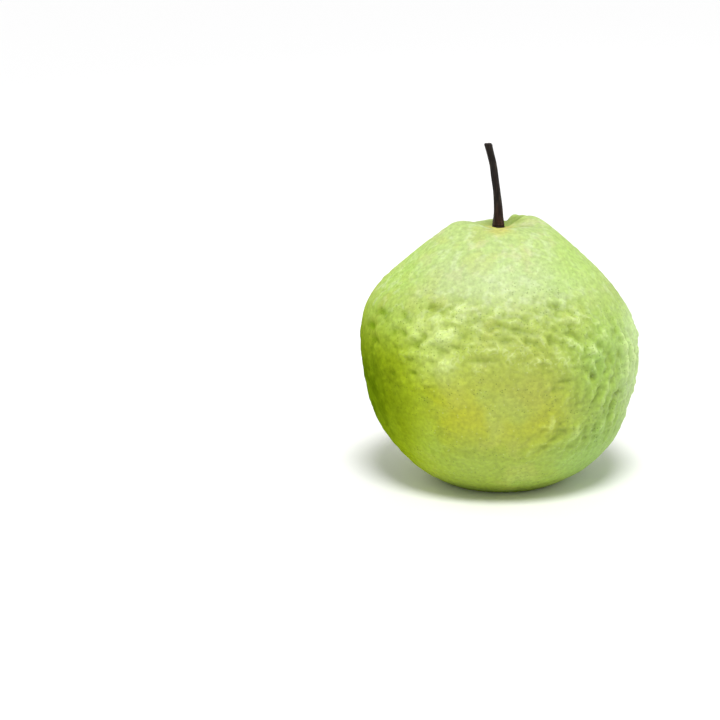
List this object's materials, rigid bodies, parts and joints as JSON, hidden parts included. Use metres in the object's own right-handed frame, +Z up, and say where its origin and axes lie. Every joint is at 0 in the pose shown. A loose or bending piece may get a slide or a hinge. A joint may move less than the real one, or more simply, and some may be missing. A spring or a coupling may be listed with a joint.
{
  "type": "guava",
  "caption": "Whole pale green guava with a lumpy skin, standing on its blossom end, with a short curved brown stem on top and a dried calyx beneath.",
  "frame": {"origin": "middle of the fruit's outline seen from above, on the surface that it stands on", "axes": "+Z up from the blossom end to the stem, front of the fruit towards -Y, fuller shoulder towards -X"},
  "size_m": [0.0942, 0.0926, 0.1146],
  "materials": {
    "guava_skin": "waxy pale green skin, satin sheen",
    "stem_bark": "dry dark brown bark, matte",
    "calyx_dried": "dried, wrinkled, matte"
  },
  "bodies": {
    "root": {"fruit": "guava_skin", "stem": "stem_bark", "calyx": "calyx_dried"}
  },
  "joints": []
}
